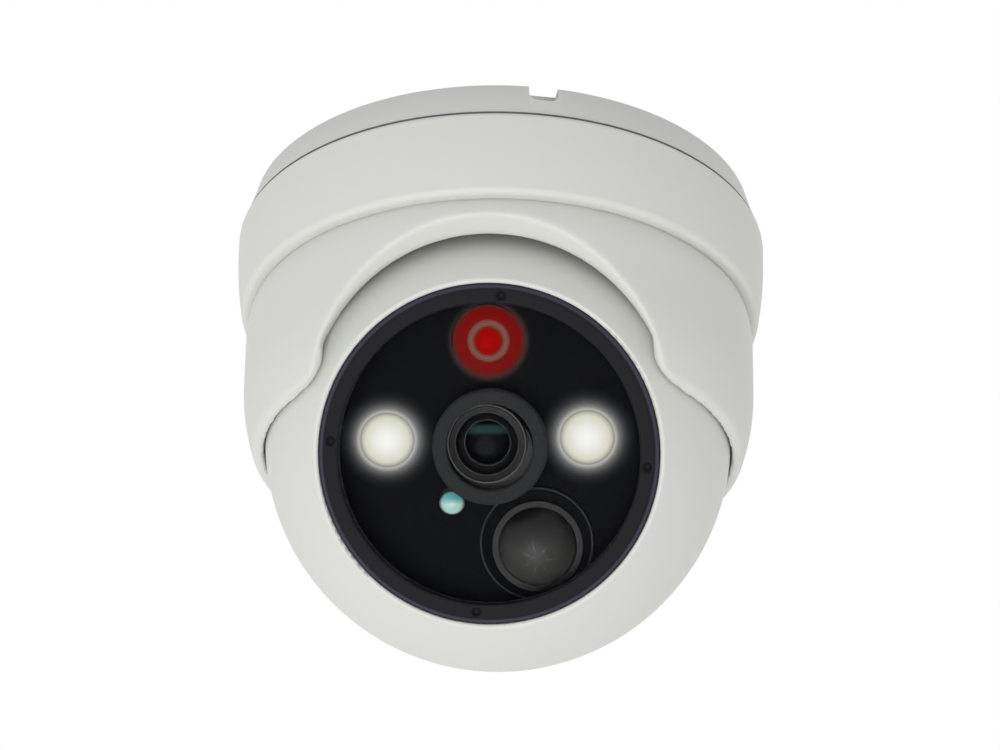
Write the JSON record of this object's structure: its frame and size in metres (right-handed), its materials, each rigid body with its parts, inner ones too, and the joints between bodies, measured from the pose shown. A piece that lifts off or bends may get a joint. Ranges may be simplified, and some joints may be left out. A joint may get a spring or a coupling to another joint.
{
  "type": "dome surveillance camera",
  "caption": "Ceiling dome camera: round base and cover, a turret ring that pans and a ball with window, lens, lamps and motion sensor that tilts.",
  "frame": {"origin": "centre of the flat ceiling face of the base", "axes": "+Z out of the ceiling face, into the ceiling; -Y is the side that the camera looks to, angled down; +X is the right of a person who faces its window"},
  "size_m": [0.0986, 0.0986, 0.0902],
  "materials": {
    "bezel": "dark grey satin anodised ring",
    "black_board": "black solder mask",
    "black_plastic": "satin black moulding",
    "board": "green solder mask",
    "brass": "turned brass",
    "chip": "black epoxy",
    "clear_lens": "clear moulded lens",
    "connector": "ivory nylon connector",
    "copper": "enamelled copper winding",
    "cut_filter": "pinkish infrared cut glass",
    "foam": "dark grey foam",
    "lens_body": "black anodised",
    "magnet": "nickel plated magnet",
    "metal_cap": "beige grey metal cap",
    "moulding": "fine matt moulding, warm light grey white",
    "nylon": "slippery natural nylon",
    "optic": "coated optical glass",
    "photocell": "teal resin face",
    "pir": "smoky moulded fresnel dome",
    "red_lens": "deep red moulded lens",
    "red_window": "dark red window",
    "rubber": "soft black rubber",
    "shell": "fine powder coat, warm light grey white",
    "steel": "zinc plated steel",
    "white_led": "yellow phosphor",
    "window": "flat clear tempered glass",
    "zinc": "pressed zinc plated sheet"
  },
  "bodies": {
    "base": {"base_plate": "moulding", "cable_grommet": "rubber", "seal_ring": "rubber", "cover_shell": "shell", "glide_ring": "nylon", "pan_friction_ring": "nylon", "pan_lock_ring": "black_plastic"},
    "turret": {"turret_ring": "shell", "pivot_screws": "steel", "pivot_washers": "steel"},
    "ball": {"ball_front_shell": "shell", "ball_rear_shell": "shell", "shell_screws": "steel", "rear_cable_seal": "rubber", "bezel_ring": "bezel", "front_glass": "window", "glass_gasket": "rubber", "mask_plate": "black_plastic", "led_board": "black_board", "white_led_lenses": "clear_lens", "white_led_chips": "white_led", "red_led": "red_lens", "red_led_ring": "metal_cap", "red_window": "red_window", "photocell": "photocell", "pir_lens": "pir", "pir_sensor": "metal_cap", "lens_light_shield": "foam", "lens_barrel": "lens_body", "lens_glasses": "optic", "lens_stop": "lens_body", "lens_lock_ring": "brass", "lens_holder": "black_plastic", "filter_coil": "copper", "camera_bracket": "zinc", "bracket_screws": "steel", "led_board_posts": "brass", "led_board_screws": "steel", "main_board": "board", "main_board_posts": "brass", "main_board_screws": "steel", "image_sensor": "chip", "processor_chip": "chip", "board_connectors": "connector"},
    "filter_slide": {"filter_frame": "black_plastic", "filter_magnet": "magnet", "infrared_cut_filter": "cut_filter", "clear_filter": "optic"}
  },
  "joints": [
    {"name": "pan", "type": "hinge", "parent": "base", "child": "turret", "pos_m": [0, 0, -0.02], "axis": [0, 0, 1], "range_deg": [-174, 174]},
    {"name": "tilt", "type": "hinge", "parent": "turret", "child": "ball", "pos_m": [0, 0, -0.0474], "axis": [1, 0, 0], "range_deg": [-13, 57]},
    {"name": "day_night_filter", "type": "slide", "parent": "ball", "child": "filter_slide", "axis": [-1, 0, 0], "range_m": [0, 0.0065]}
  ]
}
